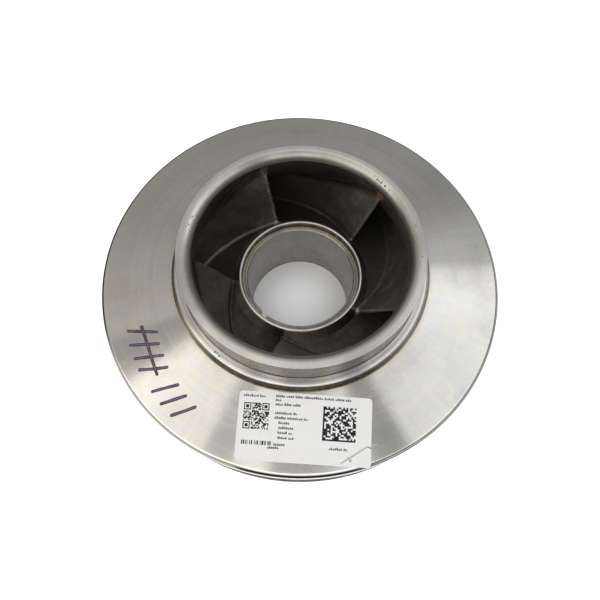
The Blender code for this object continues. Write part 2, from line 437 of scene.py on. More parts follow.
def line_mask(tree, place, start, end, half):
    """1 on a straight line between two plan points, 0 away from it."""
    start, end = Vector((*start, 0.0)), Vector((*end, 0.0))
    way = (end - start).normalized()
    from_start = add_node(tree, "ShaderNodeVectorMath", {0: place, 1: start}, operation="SUBTRACT").outputs[0]
    along, across = [add_node(tree, "ShaderNodeVectorMath", {0: from_start, 1: axis},
                              operation="DOT_PRODUCT").outputs["Value"] for axis in (way, Vector((-way.y, way.x, 0.0)))]
    ends = soft_band(tree, along, 0.0, (end - start).length, half)
    return maths(tree, "MULTIPLY", ends, remap(tree, maths(tree, "ABSOLUTE", across), half, 0.4 * half))


def soft_band(tree, value, low, high, soft):
    """1 between two values, 0 outside, with soft ends."""
    return maths(tree, "MULTIPLY", remap(tree, value, low - soft, low + soft),
                 remap(tree, value, high - soft, high + soft, 1.0, 0.0))


def turned_steel(name, colours, roughness=0.34, spread=0.92, film=0.5, groove=1.0, chatter=0.55, speckle=0.0, films_and_shade=()):
    """Turned stainless steel: grooves round the axis, faint brown film, wear and a few scratches.

    films_and_shade are (radii, heights, softness, tint) in millimetres: brown films and other tints on some surfaces,
    painted shade on others. A fifth item, two values of y, keeps a tint to the side past the second.
    """
    material, tree, shader, place = new_material(name, roughness, 1.0)
    radius, z, angle, around = turning_coordinates(tree, place)
    y = add_node(tree, "ShaderNodeSeparateXYZ", {0: place}).outputs[1]
    drift = maths(tree, "MULTIPLY", texture(tree, place, 14.0, 2.0), 0.0012)
    across = maths(tree, "ADD", radius, drift)
    cut = add_node(tree, "ShaderNodeCombineXYZ", {"X": across, "Y": z}).outputs[0]
    fine = texture(tree, cut, 1500.0, 2.0)
    coarse = texture(tree, cut, 260.0, 3.0)
    lines = add_node(tree, "ShaderNodeCombineXYZ", {"X": maths(tree, "MULTIPLY", angle, 30.0),
                                                      "Y": maths(tree, "MULTIPLY", radius, 22.0), "Z": z}).outputs[0]
    streak = texture(tree, lines, 1.0, 3.0, 0.6)
    cloud = texture(tree, place, 22.0, 5.0, 0.6)
    mottle = texture(tree, place, 90.0, 4.0, 0.65)
    pearly = add_node(tree, "ShaderNodeCombineXYZ", {
        "X": maths(tree, "MULTIPLY", maths(tree, "ADD", angle, maths(tree, "MULTIPLY", cloud, 0.5)), 11.0),
        "Y": maths(tree, "MULTIPLY", maths(tree, "ADD", radius, maths(tree, "MULTIPLY", angle, 0.03)), 75.0),
        "Z": z}).outputs[0]
    pearly_amount = remap(tree, y, 0.06, -0.06, 0.15, 0.60)
    scratch = maths(tree, "MAXIMUM", scratches(tree, place, 0.5, 0.05, 0.0009, 0.24),
                    scratches(tree, place, 2.1, 0.035, 0.0008, 0.22))
    stain = maths(tree, "MULTIPLY", remap(tree, cloud, 0.46, 0.72), film)
    base = blend_colours(tree, stain, rgba(colours.turned), rgba(colours.turned_stain))
    pearl = remap(tree, texture(tree, pearly, 1.0, 2.0, 0.5), 0.34, 0.66)
    base = blend_colours(tree, pearly_amount, base, add_node(tree, "ShaderNodeVectorMath", {
        0: base, 1: blend_colours(tree, pearl, (0.95, 0.98, 1.05, 1.0), (1.04, 1.02, 0.95, 1.0))},
        operation="MULTIPLY").outputs[0])
    shade = remap(tree, maths(tree, "ADD", maths(tree, "MULTIPLY", coarse, 0.5),
                              maths(tree, "ADD", maths(tree, "MULTIPLY", streak, 0.3),
                                    maths(tree, "MULTIPLY", mottle, 0.2))), 0.3, 0.7, 0.90, 1.06, "LINEAR")
    tinted = add_node(tree, "ShaderNodeVectorMath", {0: base, 1: shade}, operation="MULTIPLY").outputs[0]
    uneven_film_and_shade = remap(tree, maths(tree, "ADD", streak, mottle), 0.75, 1.2, 0.72, 1.0, "LINEAR")
    # Each band tints the steel inside it; some are brown films, some painted shade.
    for (r0, r1), (z0, z1), soft, tint, *side in films_and_shade:
        mask = maths(tree, "MULTIPLY", soft_band(tree, radius, r0 * MM, r1 * MM, soft * MM),
                     soft_band(tree, z, z0 * MM, z1 * MM, soft * MM))
        for y0, y1 in side:
            mask = maths(tree, "MULTIPLY", mask, remap(tree, y, y0 * MM, y1 * MM))
        filmed_and_shaded = add_node(tree, "ShaderNodeVectorMath", {0: tinted, 1: tint}, operation="MULTIPLY").outputs[0]
        tinted = blend_colours(tree, maths(tree, "MULTIPLY", mask, uneven_film_and_shade), tinted, filmed_and_shaded)
    if speckle:
        spots = remap(tree, texture(tree, place, 700.0, 3.0, 0.7), 0.35, 0.65, 1.0 - speckle, 1.0 + 0.5 * speckle, "LINEAR")
        tinted = add_node(tree, "ShaderNodeVectorMath", {0: tinted, 1: spots}, operation="MULTIPLY").outputs[0]
    tree.links.new(tinted, shader.inputs["Base Color"])
    gloss = maths(tree, "ADD", remap(tree, cloud, 0.3, 0.75, roughness - 0.03, roughness + 0.05, "LINEAR"),
                  maths(tree, "MULTIPLY", remap(tree, coarse, 0.35, 0.65), 0.03))
    tree.links.new(gloss, shader.inputs["Roughness"])
    shader.inputs["Anisotropic"].default_value = spread
    shader.inputs["Anisotropic Rotation"].default_value = 0.25
    tree.links.new(around, shader.inputs["Tangent"])
    height = maths(tree, "ADD", maths(tree, "MULTIPLY", fine, 0.35 * groove), maths(tree, "MULTIPLY", coarse, groove))
    height = maths(tree, "ADD", height, maths(tree, "MULTIPLY", streak, chatter))
    height = maths(tree, "SUBTRACT", height, maths(tree, "MULTIPLY", scratch, 0.4))
    bump = add_node(tree, "ShaderNodeBump", {"Height": height, "Strength": 1.0, "Distance": 0.000035})
    tree.links.new(bump.outputs[0], shader.inputs["Normal"])
    return material


def cast_steel(name, colours, roughness=0.42):
    """As-cast steel: dark skin, brown streaks along the flow, grain and small pits, with painted light that makes it
    lighter towards the near side and the right.
    """
    material, tree, shader, place = new_material(name, roughness, 0.85)
    x, y, _ = add_node(tree, "ShaderNodeSeparateXYZ", {0: place}).outputs
    radius, z, angle, around = turning_coordinates(tree, place)
    swirl = add_node(tree, "ShaderNodeCombineXYZ", {"X": maths(tree, "MULTIPLY", angle, 3.0),
                                                    "Y": maths(tree, "MULTIPLY", radius, 60.0),
                                                    "Z": maths(tree, "MULTIPLY", z, 60.0)}).outputs[0]
    streak = texture(tree, swirl, 1.0, 4.0, 0.6)
    cloud = texture(tree, place, 38.0, 5.0, 0.62)
    grain = texture(tree, place, 620.0, 3.0, 0.6)
    lumps = texture(tree, place, 170.0, 4.0, 0.55)
    pits = add_node(tree, "ShaderNodeTexVoronoi", {"Vector": place, "Scale": 260.0}).outputs["Distance"]
    brown = maths(tree, "MULTIPLY", remap(tree, streak, 0.48, 0.66), remap(tree, cloud, 0.40, 0.62))
    base = blend_colours(tree, brown, rgba(colours.cast), rgba(colours.cast_brown))
    shade = remap(tree, maths(tree, "ADD", maths(tree, "MULTIPLY", grain, 0.4),
                              maths(tree, "MULTIPLY", lumps, 0.6)), 0.3, 0.7, 0.72, 1.25, "LINEAR")
    # Painted light: the cast skin is lighter towards the near side and the right, and again at the left edge, and
    # darker towards the far side.
    lit_side = maths(tree, "SUBTRACT", maths(tree, "MULTIPLY", x, 0.5), maths(tree, "MULTIPLY", y, 0.85))
    lit_side = maths(tree, "ADD", lit_side, remap(tree, x, -0.045, -0.085, 0.0, 0.036, "LINEAR"))
    shade = maths(tree, "MULTIPLY", shade, remap(tree, lit_side, -0.075, 0.075, 0.55, 2.1))
    # Darker in the vane roots, by the vertices' darkening
    shade = maths(tree, "MULTIPLY", shade, maths(tree, "SUBTRACT", 1.0, attribute(tree, "soil")))
    tinted = add_node(tree, "ShaderNodeVectorMath", {0: base, 1: shade}, operation="MULTIPLY").outputs[0]
    flecks = texture(tree, place, 800.0, 3.0, 0.7)
    tinted = blend_colours(tree, maths(tree, "MULTIPLY", attribute(tree, "worn"), remap(tree, flecks, 0.47, 0.58)),
                           tinted, (0.33, 0.31, 0.25, 1.0))
    tinted = blend_colours(tree, maths(tree, "MULTIPLY", attribute(tree, "rust"), remap(tree, flecks, 0.42, 0.54)),
                           tinted, (0.36, 0.23, 0.14, 1.0))
    tree.links.new(tinted, shader.inputs["Base Color"])
    tree.links.new(remap(tree, cloud, 0.3, 0.7, roughness - 0.08, roughness + 0.12, "LINEAR"),
                   shader.inputs["Roughness"])
    height = maths(tree, "ADD", maths(tree, "MULTIPLY", lumps, 1.0), maths(tree, "MULTIPLY", grain, 0.3))
    height = maths(tree, "ADD", height, maths(tree, "MULTIPLY", remap(tree, pits, 0.05, 0.22), 0.25))
    bump = add_node(tree, "ShaderNodeBump", {"Height": height, "Strength": 1.0, "Distance": 0.00022})
    tree.links.new(bump.outputs[0], shader.inputs["Normal"])
    return material


def label_paper(colours):
    """Coated paper: faint fibre, a little soiling, a thin dark line along the crease and dark scuffs beside it."""
    material, tree, shader, place = new_material("label_paper", 0.5, 0.0)
    soil = texture(tree, place, 60.0, 5.0, 0.6)
    fibre = texture(tree, place, 1800.0, 2.0)
    base = blend_colours(tree, remap(tree, soil, 0.5, 0.8), rgba(colours.paper), rgba(colours.paper, 0.9))
    for start, end in zip(CREASE, CREASE[1:]):
        fold = line_mask(tree, place, label_plan(*start), label_plan(*end), 0.42 * MM)
        base = blend_colours(tree, maths(tree, "MULTIPLY", fold, 0.75), base, (0.16, 0.155, 0.15, 1.0))
    for start, end in SCUFFS:
        fold = line_mask(tree, place, label_plan(*start), label_plan(*end), 0.42 * MM)
        base = blend_colours(tree, maths(tree, "MULTIPLY", fold, 0.8), base, (0.10, 0.095, 0.09, 1.0))
    tree.links.new(base, shader.inputs["Base Color"])
    tree.links.new(remap(tree, soil, 0.3, 0.7, 0.42, 0.55, "LINEAR"), shader.inputs["Roughness"])
    bump = add_node(tree, "ShaderNodeBump", {"Height": fibre, "Strength": 0.6, "Distance": 0.00002})
    tree.links.new(bump.outputs[0], shader.inputs["Normal"])
    return material


def label_print(colours):
    """Black thermal print, slightly uneven."""
    material, tree, shader, place = new_material("label_print", 0.5, 0.0)
    fade = texture(tree, place, 420.0, 3.0)
    tree.links.new(blend_colours(tree, remap(tree, fade, 0.45, 0.75), rgba(colours.print_ink),
                                 rgba(colours.print_ink, 3.0)), shader.inputs["Base Color"])
    shader.inputs["Specular IOR Level"].default_value = 0.15
    return material


def marker_ink(colours):
    """Marker ink: dark at the strokes' edges, thinner and violet along their middle."""
    material, tree, shader, place = new_material("marker_ink", 0.34, 0.25)
    thin = texture(tree, place, 160.0, 3.0)
    from_middle = maths(tree, "ABSOLUTE", maths(tree, "SUBTRACT", attribute(tree, "across"), 0.5))
    inside = maths(tree, "MULTIPLY", remap(tree, from_middle, 0.34, 0.16), remap(tree, thin, 0.34, 0.56, 0.35, 1.0))
    tree.links.new(blend_colours(tree, inside, rgba(colours.marker), (0.15, 0.112, 0.16, 1.0)),
                   shader.inputs["Base Color"])
    tree.links.new(remap(tree, thin, 0.3, 0.7, 0.28, 0.42, "LINEAR"), shader.inputs["Roughness"])
    return material


ANY = (-10.0, 400.0)
# Painted shade: the back shroud's outer edge darkened all round
BACK_RIM_SHADE = (((168.9, 175.0), ANY, 0.3, (0.22, 0.20, 0.18)),)
# Sides of the part, as two values of y in millimetres, to which some painted shade is kept
NEAR, FAR = (-62.0, -92.0), (25.0, 75.0)
# Face: a faint brown tint by the ring's foot, and painted shade at the foot on the near side
FACE_FILMS_AND_SHADE = (((106.0, 110.5), ANY, 2.6, (0.93, 0.88, 0.76)), ((106.0, 108.9), ANY, 0.5, (0.24, 0.21, 0.165), NEAR))
# Ring: a brown film on the lip's outer wall; the ring's outer wall darker and browner all round, with painted shade on
# its near side; a painted shadow line on the ledge at the lip's foot; a thin darker line on the ledge
RING_FILMS_AND_SHADE = (((98.9, 99.6), (92.7, 117.4), 0.3, (0.50, 0.455, 0.41)),
              ((106.2, 112.0), (80.0, 91.4), 0.3, (0.62, 0.56, 0.47)),
              ((106.2, 112.0), (80.0, 91.4), 0.3, (0.22, 0.20, 0.175), NEAR),
              ((99.0, 100.1), (91.0, 93.3), 0.4, (0.24, 0.22, 0.19)),
              ((102.3, 102.7), (91.0, 93.3), 0.15, (0.60, 0.58, 0.54)))
# Land: a duller tint on the inner rounding, and a painted dark reflection on the far side
LAND_TINT_AND_DARK_REFLECTION = (((84.0, 92.5), ANY, 1.6, (0.90, 0.89, 0.84)), ((84.0, 93.6), ANY, 1.0, (0.66, 0.665, 0.64), FAR))
# Hub: tan on the recessed face, painted shade on the recess's wall, two thin darker lines at the turning rings, a brown
# film on the nose's outer wall
HUB_FILMS_AND_SHADE = (((46.0, 50.4), (60.0, 65.0), 0.3, (0.44, 0.41, 0.33)), ((50.5, 51.9), (60.0, 67.6), 0.4, (0.20, 0.18, 0.14)),
             ((48.5, 48.8), (60.0, 65.0), 0.12, (0.35, 0.33, 0.28)), ((49.5, 49.8), (60.0, 65.0), 0.12, (0.35, 0.33, 0.28)),
             ((53.75, 70.0), (50.0, 68.2), 0.5, (0.42, 0.375, 0.31)))
# Bore: a darker tone all along, and darker and browner towards its lower end
BORE_TINTS = (((40.0, 50.0), (1.5, 90.0), 0.8, (0.57, 0.56, 0.555)), ((40.0, 50.0), (-5.0, 2.2), 0.6, (0.40, 0.35, 0.27)))


def finish(name):
    """A finish by name, made once."""
    if name in bpy.data.materials:
        return bpy.data.materials[name]
    colours = bpy.context.scene.impeller_colours
    makers = {
        "turned_face": lambda: turned_steel("turned_face", colours, 0.165, 1.0, 0.5, 1.6, 0.12, films_and_shade=FACE_FILMS_AND_SHADE),
        "turned_ring": lambda: turned_steel("turned_ring", colours, 0.20, 0.95, 0.4, 1.2, 0.25, films_and_shade=RING_FILMS_AND_SHADE),
        "turned_land": lambda: turned_steel("turned_land", colours, 0.27, 0.85, 0.8, 1.2, 0.4, films_and_shade=LAND_TINT_AND_DARK_REFLECTION),
        "turned_edge": lambda: turned_steel("turned_edge", colours, 0.10, 0.0, 0.4, 0.3, 0.05),
        "turned_hub": lambda: turned_steel("turned_hub", colours, 0.22, 0.80, 0.9, 1.4, 0.3, films_and_shade=HUB_FILMS_AND_SHADE),
        "turned_bore": lambda: turned_steel("turned_bore", colours, 0.40, 0.6, 0.6, speckle=0.22, films_and_shade=BORE_TINTS),
        "turned_back": lambda: turned_steel("turned_back", colours, 0.24, 0.95, 0.6, 1.3, 0.3, films_and_shade=BACK_RIM_SHADE),
        "cast_skin": lambda: cast_steel("cast_skin", colours),
        "label_paper": lambda: label_paper(colours),
        "label_print": lambda: label_print(colours),
        "marker_ink": lambda: marker_ink(colours),
    }
    return makers[name]()


# Pieces

class ImpellerPiece:
    """Common part of the operators."""
    bl_options = {"REGISTER", "UNDO"}

    def execute(self, context):
        self.make(context.scene.impeller_sizes)
        return {"FINISHED"}


class IMPELLER_OT_front_shroud(ImpellerPiece, bpy.types.Operator):
    """Turned conical face with its bevelled rim and the waterway's upper wall"""
    bl_idname = "impeller.front_shroud"
    bl_label = "Front shroud"

    def make(self, sizes):
        corners = [(OUTER_R, FACE_EDGE_Z - EDGE_DROP, sizes.edge_rounding),
                   (FACE_EDGE_R, FACE_EDGE_Z, sizes.face_rounding),
                   (RING_FOOT_R, RING_FOOT_Z, 0.0)]
        wall = wall_points(SHROUD_WALL, below(SHROUD_WALL, RING_FOOT_Z), 1.0, 48)
        edge_from = FACE_EDGE_R - 0.8 * sizes.face_rounding
        bm = turned_solid(corners, wall, sizes, lambda radius, z, cast: 1 if cast else 2 * int(radius > edge_from))
        piece = add_piece("front_shroud_finish", bm, [finish("turned_face"), finish("cast_skin"), finish("turned_edge")],
                          ["front_shroud"])
        even_shading(piece)


class IMPELLER_OT_eye_ring(ImpellerPiece, bpy.types.Operator):
    """Raised ring round the eye: ledge, lip, land and rounded inner corner, with its dents"""
    bl_idname = "impeller.eye_ring"
    bl_label = "Eye ring"

    # Pits and dents from handling: (x, y, radius of the dent), in millimetres
    DENTS = ((62.2, 66.5, 0.8), (63.6, 65.0, 0.7), (65.2, 63.4, 0.9), (68.4, 60.1, 0.9), (66.6, 64.6, 0.5),
             (59.6, 69.6, 0.5), (71.6, 56.0, 0.6), (64.8, 61.4, 0.5), (-90.8, 17.3, 0.7), (-92.4, 15.2, 0.6),
             (-93.9, 12.6, 0.5), (-92.0, 18.6, 0.4), (-88.8, 24.8, 0.7), (-89.6, 23.2, 0.5), (-64.3, -80.7, 0.9),
             (-61.0, -83.8, 0.8), (-62.6, -82.0, 0.5), (-61.9, -81.0, 0.4), (12.0, 96.4, 0.5), (95.0, -6.0, 0.6),
             (91.5, 22.0, 0.6), (92.2, 20.6, 0.4))

    def height(self, radius, sizes):
        """Height of the ring's upper side at a radius."""
        if radius > LIP_R:
            return LEDGE_Z
        inside = max(0.0, EYE_R + sizes.eye_rounding - radius)
        return LIP_TOP_Z - sizes.eye_rounding + math.sqrt(sizes.eye_rounding ** 2 - inside ** 2)

    def make(self, sizes):
        foot = sizes.foot_fillet
        corners = [(EYE_R, LIP_TOP_Z, sizes.eye_rounding),
                   (LIP_R, LIP_TOP_Z, sizes.arris),
                   (LIP_R, LEDGE_Z, foot),
                   (LEDGE_R, LEDGE_Z, sizes.ledge_rounding),
                   (RING_FOOT_R - sizes.arris, RING_FOOT_Z + 0.1 * MM, foot),
                   (RING_FOOT_R + 2 * foot, RING_FOOT_Z - 2.4 * foot * FACE_SLOPE, 0.0)]
        wall_top = below(SHROUD_WALL, LIP_TOP_Z - sizes.eye_rounding - 0.3 * MM)
        wall = wall_points(SHROUD_WALL, below(SHROUD_WALL, RING_FOOT_Z), wall_top, 24)
        land_z = LIP_TOP_Z - 0.9 * MM
        bm = turned_solid(corners, wall, sizes,
                          lambda radius, z, cast: 1 if cast else 2 * int(z > land_z or radius < LAND_INNER_R))
        piece = add_piece("eye_ring_finish", bm, [finish("turned_ring"), finish("cast_skin"), finish("turned_land")],
                          ["eye_ring"])
        dents = bmesh.new()
        for x, y, size in self.DENTS:
            height = self.height(math.hypot(x, y) * MM, sizes)
            matrix = Matrix.Translation((x * MM, y * MM, height + 0.3 * size * MM))
            bmesh.ops.create_icosphere(dents, subdivisions=2, radius=size * MM, matrix=matrix)
        cut_away(piece, dents, finish("cast_skin"))
        even_shading(piece)


class IMPELLER_OT_hub(ImpellerPiece, bpy.types.Operator):
    """Hub nose with its thin rim, recessed face, bore and keyway"""
    bl_idname = "impeller.hub"
    bl_label = "Hub"

    BAND_Z = 61.5 * MM          # the nose is turned outside down to this height
    # Turning rings cut in the recessed face: (radius, half width, depth)
    RINGS = ((48.6 * MM, 0.22 * MM, 0.20 * MM), (49.4 * MM, 0.22 * MM, 0.20 * MM))
    RELIEF = 0.6 * MM           # tool relief at the foot of the recess's wall

    def make(self, sizes):
        wall = wall_points(HUB_WALL, below(HUB_WALL, NOSE_Z - 1.2 * MM), below(HUB_WALL, HUB_SPLIT_Z), 20)
        corners = [(wall[-1][0], BACK_Z, 0.0), (BORE_R, BACK_Z, 0.0),
                   (BORE_R, RECESS_Z - BORE_CHAMFER, 0.2 * MM), (BORE_R + BORE_CHAMFER, RECESS_Z, 0.2 * MM)]
        for radius, half, depth in self.RINGS:
            corners += [(radius - half, RECESS_Z, 0.0), (radius, RECESS_Z - depth, 0.0), (radius + half, RECESS_Z, 0.0)]
        corners += [(RECESS_R - self.RELIEF, RECESS_Z, 0.0), (RECESS_R - self.RELIEF, RECESS_Z - self.RELIEF, 0.0),
                    (RECESS_R, RECESS_Z - self.RELIEF, 0.0), (NOSE_RIM_R, NOSE_Z, 0.5 * MM),
                    (NOSE_R, NOSE_Z, 0.6 * MM)]
        def zone(radius, z, cast):
            if cast:
                return 1 if z < self.BAND_Z else 0
            return 2 if radius < BORE_R + 0.1 * MM else 0

        piece = add_piece("hub_finish", turned_solid(corners, wall, sizes, zone),
                          [finish("turned_hub"), finish("cast_skin"), finish("turned_bore")], ["hub"])
        cut_away(piece, keyway_cutter())
        even_shading(piece)


class IMPELLER_OT_rear_boss(ImpellerPiece, bpy.types.Operator):
    """Plain boss behind the back shroud, which the impeller stands on"""
    bl_idname = "impeller.rear_boss"
    bl_label = "Rear boss"

    def make(self, sizes):
        fillet = 3.0 * MM
        corners = [(BORE_R, BACK_Z, 0.0), (BORE_R, BORE_CHAMFER, 0.2 * MM), (BORE_R + BORE_CHAMFER, 0.0, 0.2 * MM),
                   (BOSS_R - BOSS_EDGE, 0.0, 0.3 * MM), (BOSS_R, BOSS_EDGE, 0.3 * MM), (BOSS_R, BACK_Z, fillet),
                   (BOSS_R + 1.5 * fillet, BACK_Z, 0.0), (BOSS_R + 1.5 * fillet, BACK_Z + 0.5 * MM, 0.0)]
        bm = turned_solid(corners, (), sizes, lambda radius, z, cast: int(radius < BORE_R + 0.1 * MM))
        piece = add_piece("rear_boss_finish", bm, [finish("turned_back"), finish("turned_bore")],
                          ["rear_boss"])
        cut_away(piece, keyway_cutter())
        even_shading(piece)


class IMPELLER_OT_back_shroud(ImpellerPiece, bpy.types.Operator):
    """Rear disc: turned behind, cast towards the waterway"""
    bl_idname = "impeller.back_shroud"
    bl_label = "Back shroud"

    def make(self, sizes):
        start = below(HUB_WALL, HUB_SPLIT_Z)
        wall = wall_points(HUB_WALL, start, 1.0, 60)
        corners = [(BACK_OUTER_R, BACK_Z + BACK_EDGE, 0.3 * MM), (BACK_OUTER_R - BACK_EDGE, BACK_Z, 0.3 * MM),
                   (wall[0][0], BACK_Z, 0.0)]
        piece = add_piece("back_shroud_finish", turned_solid(corners, wall, sizes),
                          [finish("turned_back"), finish("cast_skin")], ["back_shroud"])
        even_shading(piece)


class IMPELLER_OT_vanes(ImpellerPiece, bpy.types.Operator):
    """Five swept vanes with rounded leading edges and filleted roots"""
    bl_idname = "impeller.vanes"
    bl_label = "Vanes"

    NOSE_COLUMNS, FLANK_COLUMNS = 6, 54
    FILLET_ROWS, MIDDLE_ROWS = 7, 10
    SUNK = 0.9 * MM
    # Of each vane: root radius as a share of the first's, darkening in the root, wear and rust of the leading edge
    STATES = ((1.0, 0.0, 1.0, 0.0), (0.9, 0.35, 0.2, 1.0), (1.1, 0.0, 0.2, 0.0), (0.5, 0.75, 0.2, 0.0),
              (0.5, 0.75, 0.3, 0.0))

    def centre(self, along, from_hub):
        """Point midway through the vane's thickness, and the passage's width there."""
        hub, shroud = at_share(HUB_LINE, along), at_share(SHROUD_LINE, along)
        width = (shroud - hub).length
        share = from_hub(width)
        radius, z = hub.lerp(shroud, share)
        angle = FIRST_VANE_ANGLE + VANE_WRAP * along
        return Vector((radius * math.cos(angle), radius * math.sin(angle), z))

    def row(self, index, fillet):
        """Distance rule and fillet flare of one row, from the hub's row 0 to the shroud's last row."""
        last = 2 * self.FILLET_ROWS + self.MIDDLE_ROWS
        turn = min(index, last - index)
        if turn >= self.FILLET_ROWS:
            share = (index - self.FILLET_ROWS) / self.MIDDLE_ROWS
            return (lambda width: (fillet + (width - 2 * fillet) * share) / width), 0.0
        if turn == 0:
            depth, flare = -self.SUNK, fillet
        else:
            sweep = 0.5 * math.pi * (turn - 1) / (self.FILLET_ROWS - 1)
            depth, flare = fillet * (1 - math.cos(sweep)), fillet * (1 - math.sin(sweep))
        if index < self.FILLET_ROWS:
            return (lambda width: depth / width), flare
        return (lambda width: 1.0 - depth / width), flare

    def place(self, column, row, side, fillet):
        from_hub, flare = self.row(row, fillet)
        along = max(0.0, (column - self.NOSE_COLUMNS) / self.FLANK_COLUMNS)
        along = along ** 1.25
        step = 0.004
        point = self.centre(along, from_hub)
        flow = (self.centre(along + step, from_hub) - self.centre(along - step, from_hub)).normalized()
        around = Vector((-point.y, point.x, 0.0)).normalized()
        surface = flow.cross(around).normalized()
        out = surface.cross(flow).normalized()
        taper = min(1.0, 0.62 + 5.0 * along) * min(1.0, 0.5 + 4.0 * (1.0 - along))
        half = 0.5 * VANE_THICKNESS * taper + flare
        if column < self.NOSE_COLUMNS:
            sweep = 0.5 * math.pi * (column + 0.35) / (self.NOSE_COLUMNS + 0.35)
            offset = flow * (-half * math.cos(sweep)) + out * (side * half * math.sin(sweep))
        else:
            offset = out * (side * half)
        point = point + offset
        spread = math.hypot(point.x, point.y)
        if spread > VANE_TIP_R:
            point.x, point.y = point.x * VANE_TIP_R / spread, point.y * VANE_TIP_R / spread
        return point

    def mark(self, bm, columns, rows, soil, wear, rust):
        """Let the vertices carry the darkening of the roots and the wear and rust of the leading edge."""
        marks = [bm.verts.layers.float.new(name) for name in ("soil", "worn", "rust")]
        along, across = bm.verts.layers.float["along"], bm.verts.layers.float["across"]
        for vert in bm.verts:
            from_end = min(vert[across], 1.0 - vert[across]) * rows
            nose = vert[along] * columns < self.NOSE_COLUMNS + 0.5
            corner = from_end < self.FILLET_ROWS + 0.5 and vert[along] * columns < self.NOSE_COLUMNS + 1.5
            vert[marks[0]] = soil if from_end < self.FILLET_ROWS + 0.5 else 0.0
            vert[marks[1]] = wear * (1.0 if corner else 0.7 * nose)
            vert[marks[2]] = rust if corner and vert[across] > 0.5 else 0.0

    def make(self, sizes):
        columns = self.NOSE_COLUMNS + self.FLANK_COLUMNS
        rows = 2 * self.FILLET_ROWS + self.MIDDLE_ROWS
        for index in range(VANE_COUNT):
            root, soil, wear, rust = self.STATES[index]
            bm = two_sided_grid(columns, rows, lambda c, r, s: self.place(c, r, s, sizes.vane_fillet * root))
            self.mark(bm, columns, rows, soil, wear, rust)
            bmesh.ops.rotate(bm, cent=(0, 0, 0), verts=bm.verts,
                             matrix=Matrix.Rotation(-2 * math.pi * index / VANE_COUNT, 3, "Z"))
            for vert in bm.verts:
                vert.co += uneven(vert.co, sizes.waviness)
            name = f"vane_{index + 1}"
            add_piece(name + "_finish", bm, [finish("cast_skin")], [name])


def face_point(x, y, lift):
    """Point of the conical face, or a little above it."""
    return Vector((x, y, FACE_EDGE_Z + (FACE_EDGE_R - math.hypot(x, y)) * FACE_SLOPE + lift))


def distance_to_run(point, run):
    """Distance from a plan point to a run of straight lines."""
    best = 1e9
    for a, b in zip(run, run[1:]):
        a, b = Vector(a), Vector(b)
        share = min(1.0, max(0.0, (point - a).dot(b - a) / (b - a).length_squared))
        best = min(best, (point - a - (b - a) * share).length)
    return best


def label_place(x, y, lift, sizes):
    """Point on the stuck label, from millimetres right and up of its lower left corner."""
    plan, here = label_plan(x, y), Vector((x, y))
    ridge = math.exp(-(distance_to_run(here, CREASE) / 0.7) ** 2)
    lifted = max(0.0, (x - 84.0) / 17.6) * max(0.0, (14.0 - y) / 14.0)
    wave = 0.10 * MM * (1.0 + noise.noise(Vector((x * 0.09, y * 0.12, 0.0))))
    return face_point(plan.x, plan.y, wave + sizes.crease_height * ridge + 0.5 * MM * lifted + lift)


class IMPELLER_OT_label(ImpellerPiece, bpy.types.Operator):
    """White paper label stuck on the near side of the turned face, creased at one corner"""
    bl_idname = "impeller.label"
    bl_label = "Label"

    COLUMNS, ROWS = 144, 72

    def place(self, column, row, side, sizes):
        width, height, corner = LABEL_WIDTH / MM, LABEL_HEIGHT / MM, sizes.label_corner / MM
        x, y = width * column / self.COLUMNS, height * row / self.ROWS
        inner = Vector((min(max(x, corner), width - corner), min(max(y, corner), height - corner)))
        out = Vector((x, y)) - inner
        if out.x and out.y:
            reach = max(abs(out.x), abs(out.y))
            x, y = inner + out.normalized() * reach
        return label_place(x, y, 0.5 * (side + 1.0) * sizes.label_thickness, sizes)

    def make(self, sizes):
        bm = two_sided_grid(self.COLUMNS, self.ROWS, lambda c, r, s: self.place(c, r, s, sizes))
        add_piece("label_sheet", bm, [finish("label_paper")], ["label"])


